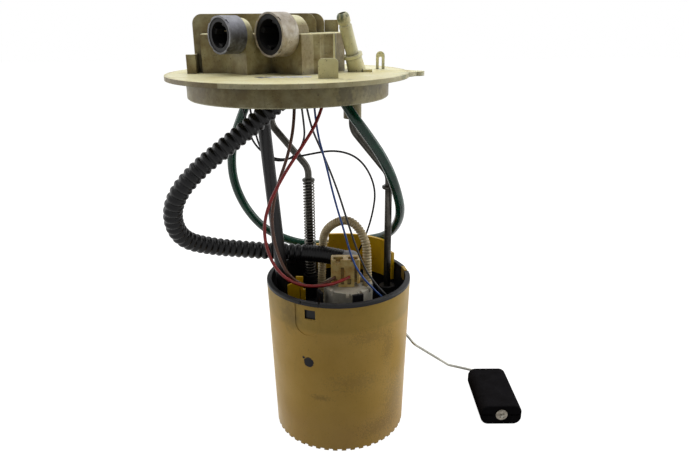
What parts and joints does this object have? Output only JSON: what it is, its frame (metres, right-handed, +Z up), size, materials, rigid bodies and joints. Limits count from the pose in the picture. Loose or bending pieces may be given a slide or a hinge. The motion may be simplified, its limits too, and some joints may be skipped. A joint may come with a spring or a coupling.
{
  "type": "in-tank fuel pump module",
  "caption": "In-tank fuel pump module: sprung top flange with sockets and fuel spigot, sliding on rods over a reservoir cup with pump, level sender, arm and float.",
  "frame": {"origin": "centre of the cup's foot pad, on the plane that the cup stands on", "axes": "+Z up from the cup to the flange, +X from the cup towards the float, +Y towards the level sender behind the cup"},
  "size_m": [0.2455, 0.1524, 0.2887],
  "materials": {
    "flange_cream": "natural nylon moulding, aged cream",
    "sleeve_tan": "natural plastic stained tan by fuel",
    "black_plastic": "black moulding",
    "clip_yellow": "yellow moulding",
    "ring_grey": "grey ring",
    "ring_clear": "translucent whitish ring",
    "cap_grey": "grey-white moulding",
    "block_cream": "cream block",
    "elbow_grey": "grey fitting",
    "steel_rod": "drawn steel",
    "spring_steel": "spring wire",
    "case_steel": "plated steel tube",
    "laminations": "laminated iron with varnish",
    "ferrite": "ferrite magnet",
    "copper": "copper segments",
    "contact_brass": "brass contacts",
    "carbon": "carbon block",
    "isolator_rubber": "rubber",
    "valve_rubber": "rubber disc",
    "strainer_mesh": "nylon mesh",
    "card_white": "ceramic card",
    "hub_cream": "cream moulding",
    "float_foam": "closed-cell float, fine grain",
    "star_cap": "push-on cap",
    "hose_black": "corrugated black hose",
    "tube_black": "smooth black pipe",
    "hose_green": "translucent green hose",
    "hose_tan": "corrugated tan tube",
    "wire_red": "red insulation",
    "wire_brown": "brown insulation",
    "wire_blue": "blue insulation",
    "wire_black": "black insulation"
  },
  "bodies": {
    "reservoir": {"reservoir_sleeve": "sleeve_tan", "reservoir_cup": "black_plastic", "carrier_tray": "black_plastic", "valve_cage": "black_plastic", "jet_pump": "black_plastic", "sender_carrier": "clip_yellow", "hose_clip": "clip_yellow", "guide_bush_left": "black_plastic", "guide_bush_right": "black_plastic", "isolator_ring": "isolator_rubber", "inlet_strainer": "strainer_mesh", "pump_case": "case_steel", "pump_inlet_cover": "black_plastic", "impeller_housing": "black_plastic", "pump_magnet_left": "ferrite", "pump_magnet_right": "ferrite", "pump_brush_left": "carbon", "pump_brush_right": "carbon", "pump_outlet_cap": "cap_grey", "pump_plug": "block_cream", "hose_elbow": "elbow_grey", "sender_plug": "black_plastic", "sender_housing": "black_plastic", "resistor_card": "card_white", "jet_feed_tube": "hose_tan"},
    "head": {"flange": "flange_cream", "connector_ring_left": "ring_grey", "connector_ring_right": "ring_clear", "connector_insert_left": "black_plastic", "connector_insert_right": "black_plastic", "connector_pins_left": "contact_brass", "connector_pins_right": "contact_brass", "header_plug_left": "black_plastic", "header_plug_right": "black_plastic", "supply_elbow": "black_plastic", "guide_rod_left": "steel_rod", "guide_rod_right": "steel_rod", "rod_clip_left": "spring_steel", "rod_clip_right": "spring_steel", "suspension_spring": "spring_steel", "drop_tube": "tube_black", "supply_hose": "hose_black", "return_hose": "hose_green", "power_wire_red": "wire_red", "power_wire_brown": "wire_brown", "signal_wire_blue": "wire_blue", "signal_wire_black": "wire_black", "sender_lead": "wire_black", "bridge_lead": "wire_black"},
    "pump_rotor": {"pump_armature": "laminations", "pump_shaft": "steel_rod", "pump_commutator": "copper", "pump_impeller": "black_plastic"},
    "float_arm": {"arm_hub": "hub_cream", "wiper": "contact_brass", "arm_wire": "steel_rod", "float_cap": "star_cap"},
    "float": {"float_body": "float_foam"},
    "valve_disc": {"inlet_valve": "valve_rubber"}
  },
  "joints": [
    {"name": "head_slide", "type": "slide", "parent": "reservoir", "child": "head", "axis": [0, 0, 1], "range_m": [-0.03, 0], "stiffness_N_per_m": 300, "springref_m": 0.03, "deforming": ["suspension_spring", "supply_hose", "return_hose", "power_wire_red", "power_wire_brown", "signal_wire_blue", "signal_wire_black", "sender_lead"]},
    {"name": "arm_swing", "type": "hinge", "parent": "reservoir", "child": "float_arm", "pos_m": [0.02, 0.058, 0.06], "axis": [0, -1, 0], "range_deg": [0, 80]},
    {"name": "float_turn", "type": "hinge", "parent": "float_arm", "child": "float", "pos_m": [0.119, 0.00675, 0.0087], "axis": [0, 1, 0], "continuous": true},
    {"name": "pump_spin", "type": "hinge", "parent": "reservoir", "child": "pump_rotor", "pos_m": [0.0068, -0.013, 0.06], "axis": [0, 0, 1], "continuous": true},
    {"name": "valve_lift", "type": "slide", "parent": "reservoir", "child": "valve_disc", "axis": [0, 0, 1], "range_m": [0, 0.003]}
  ]
}
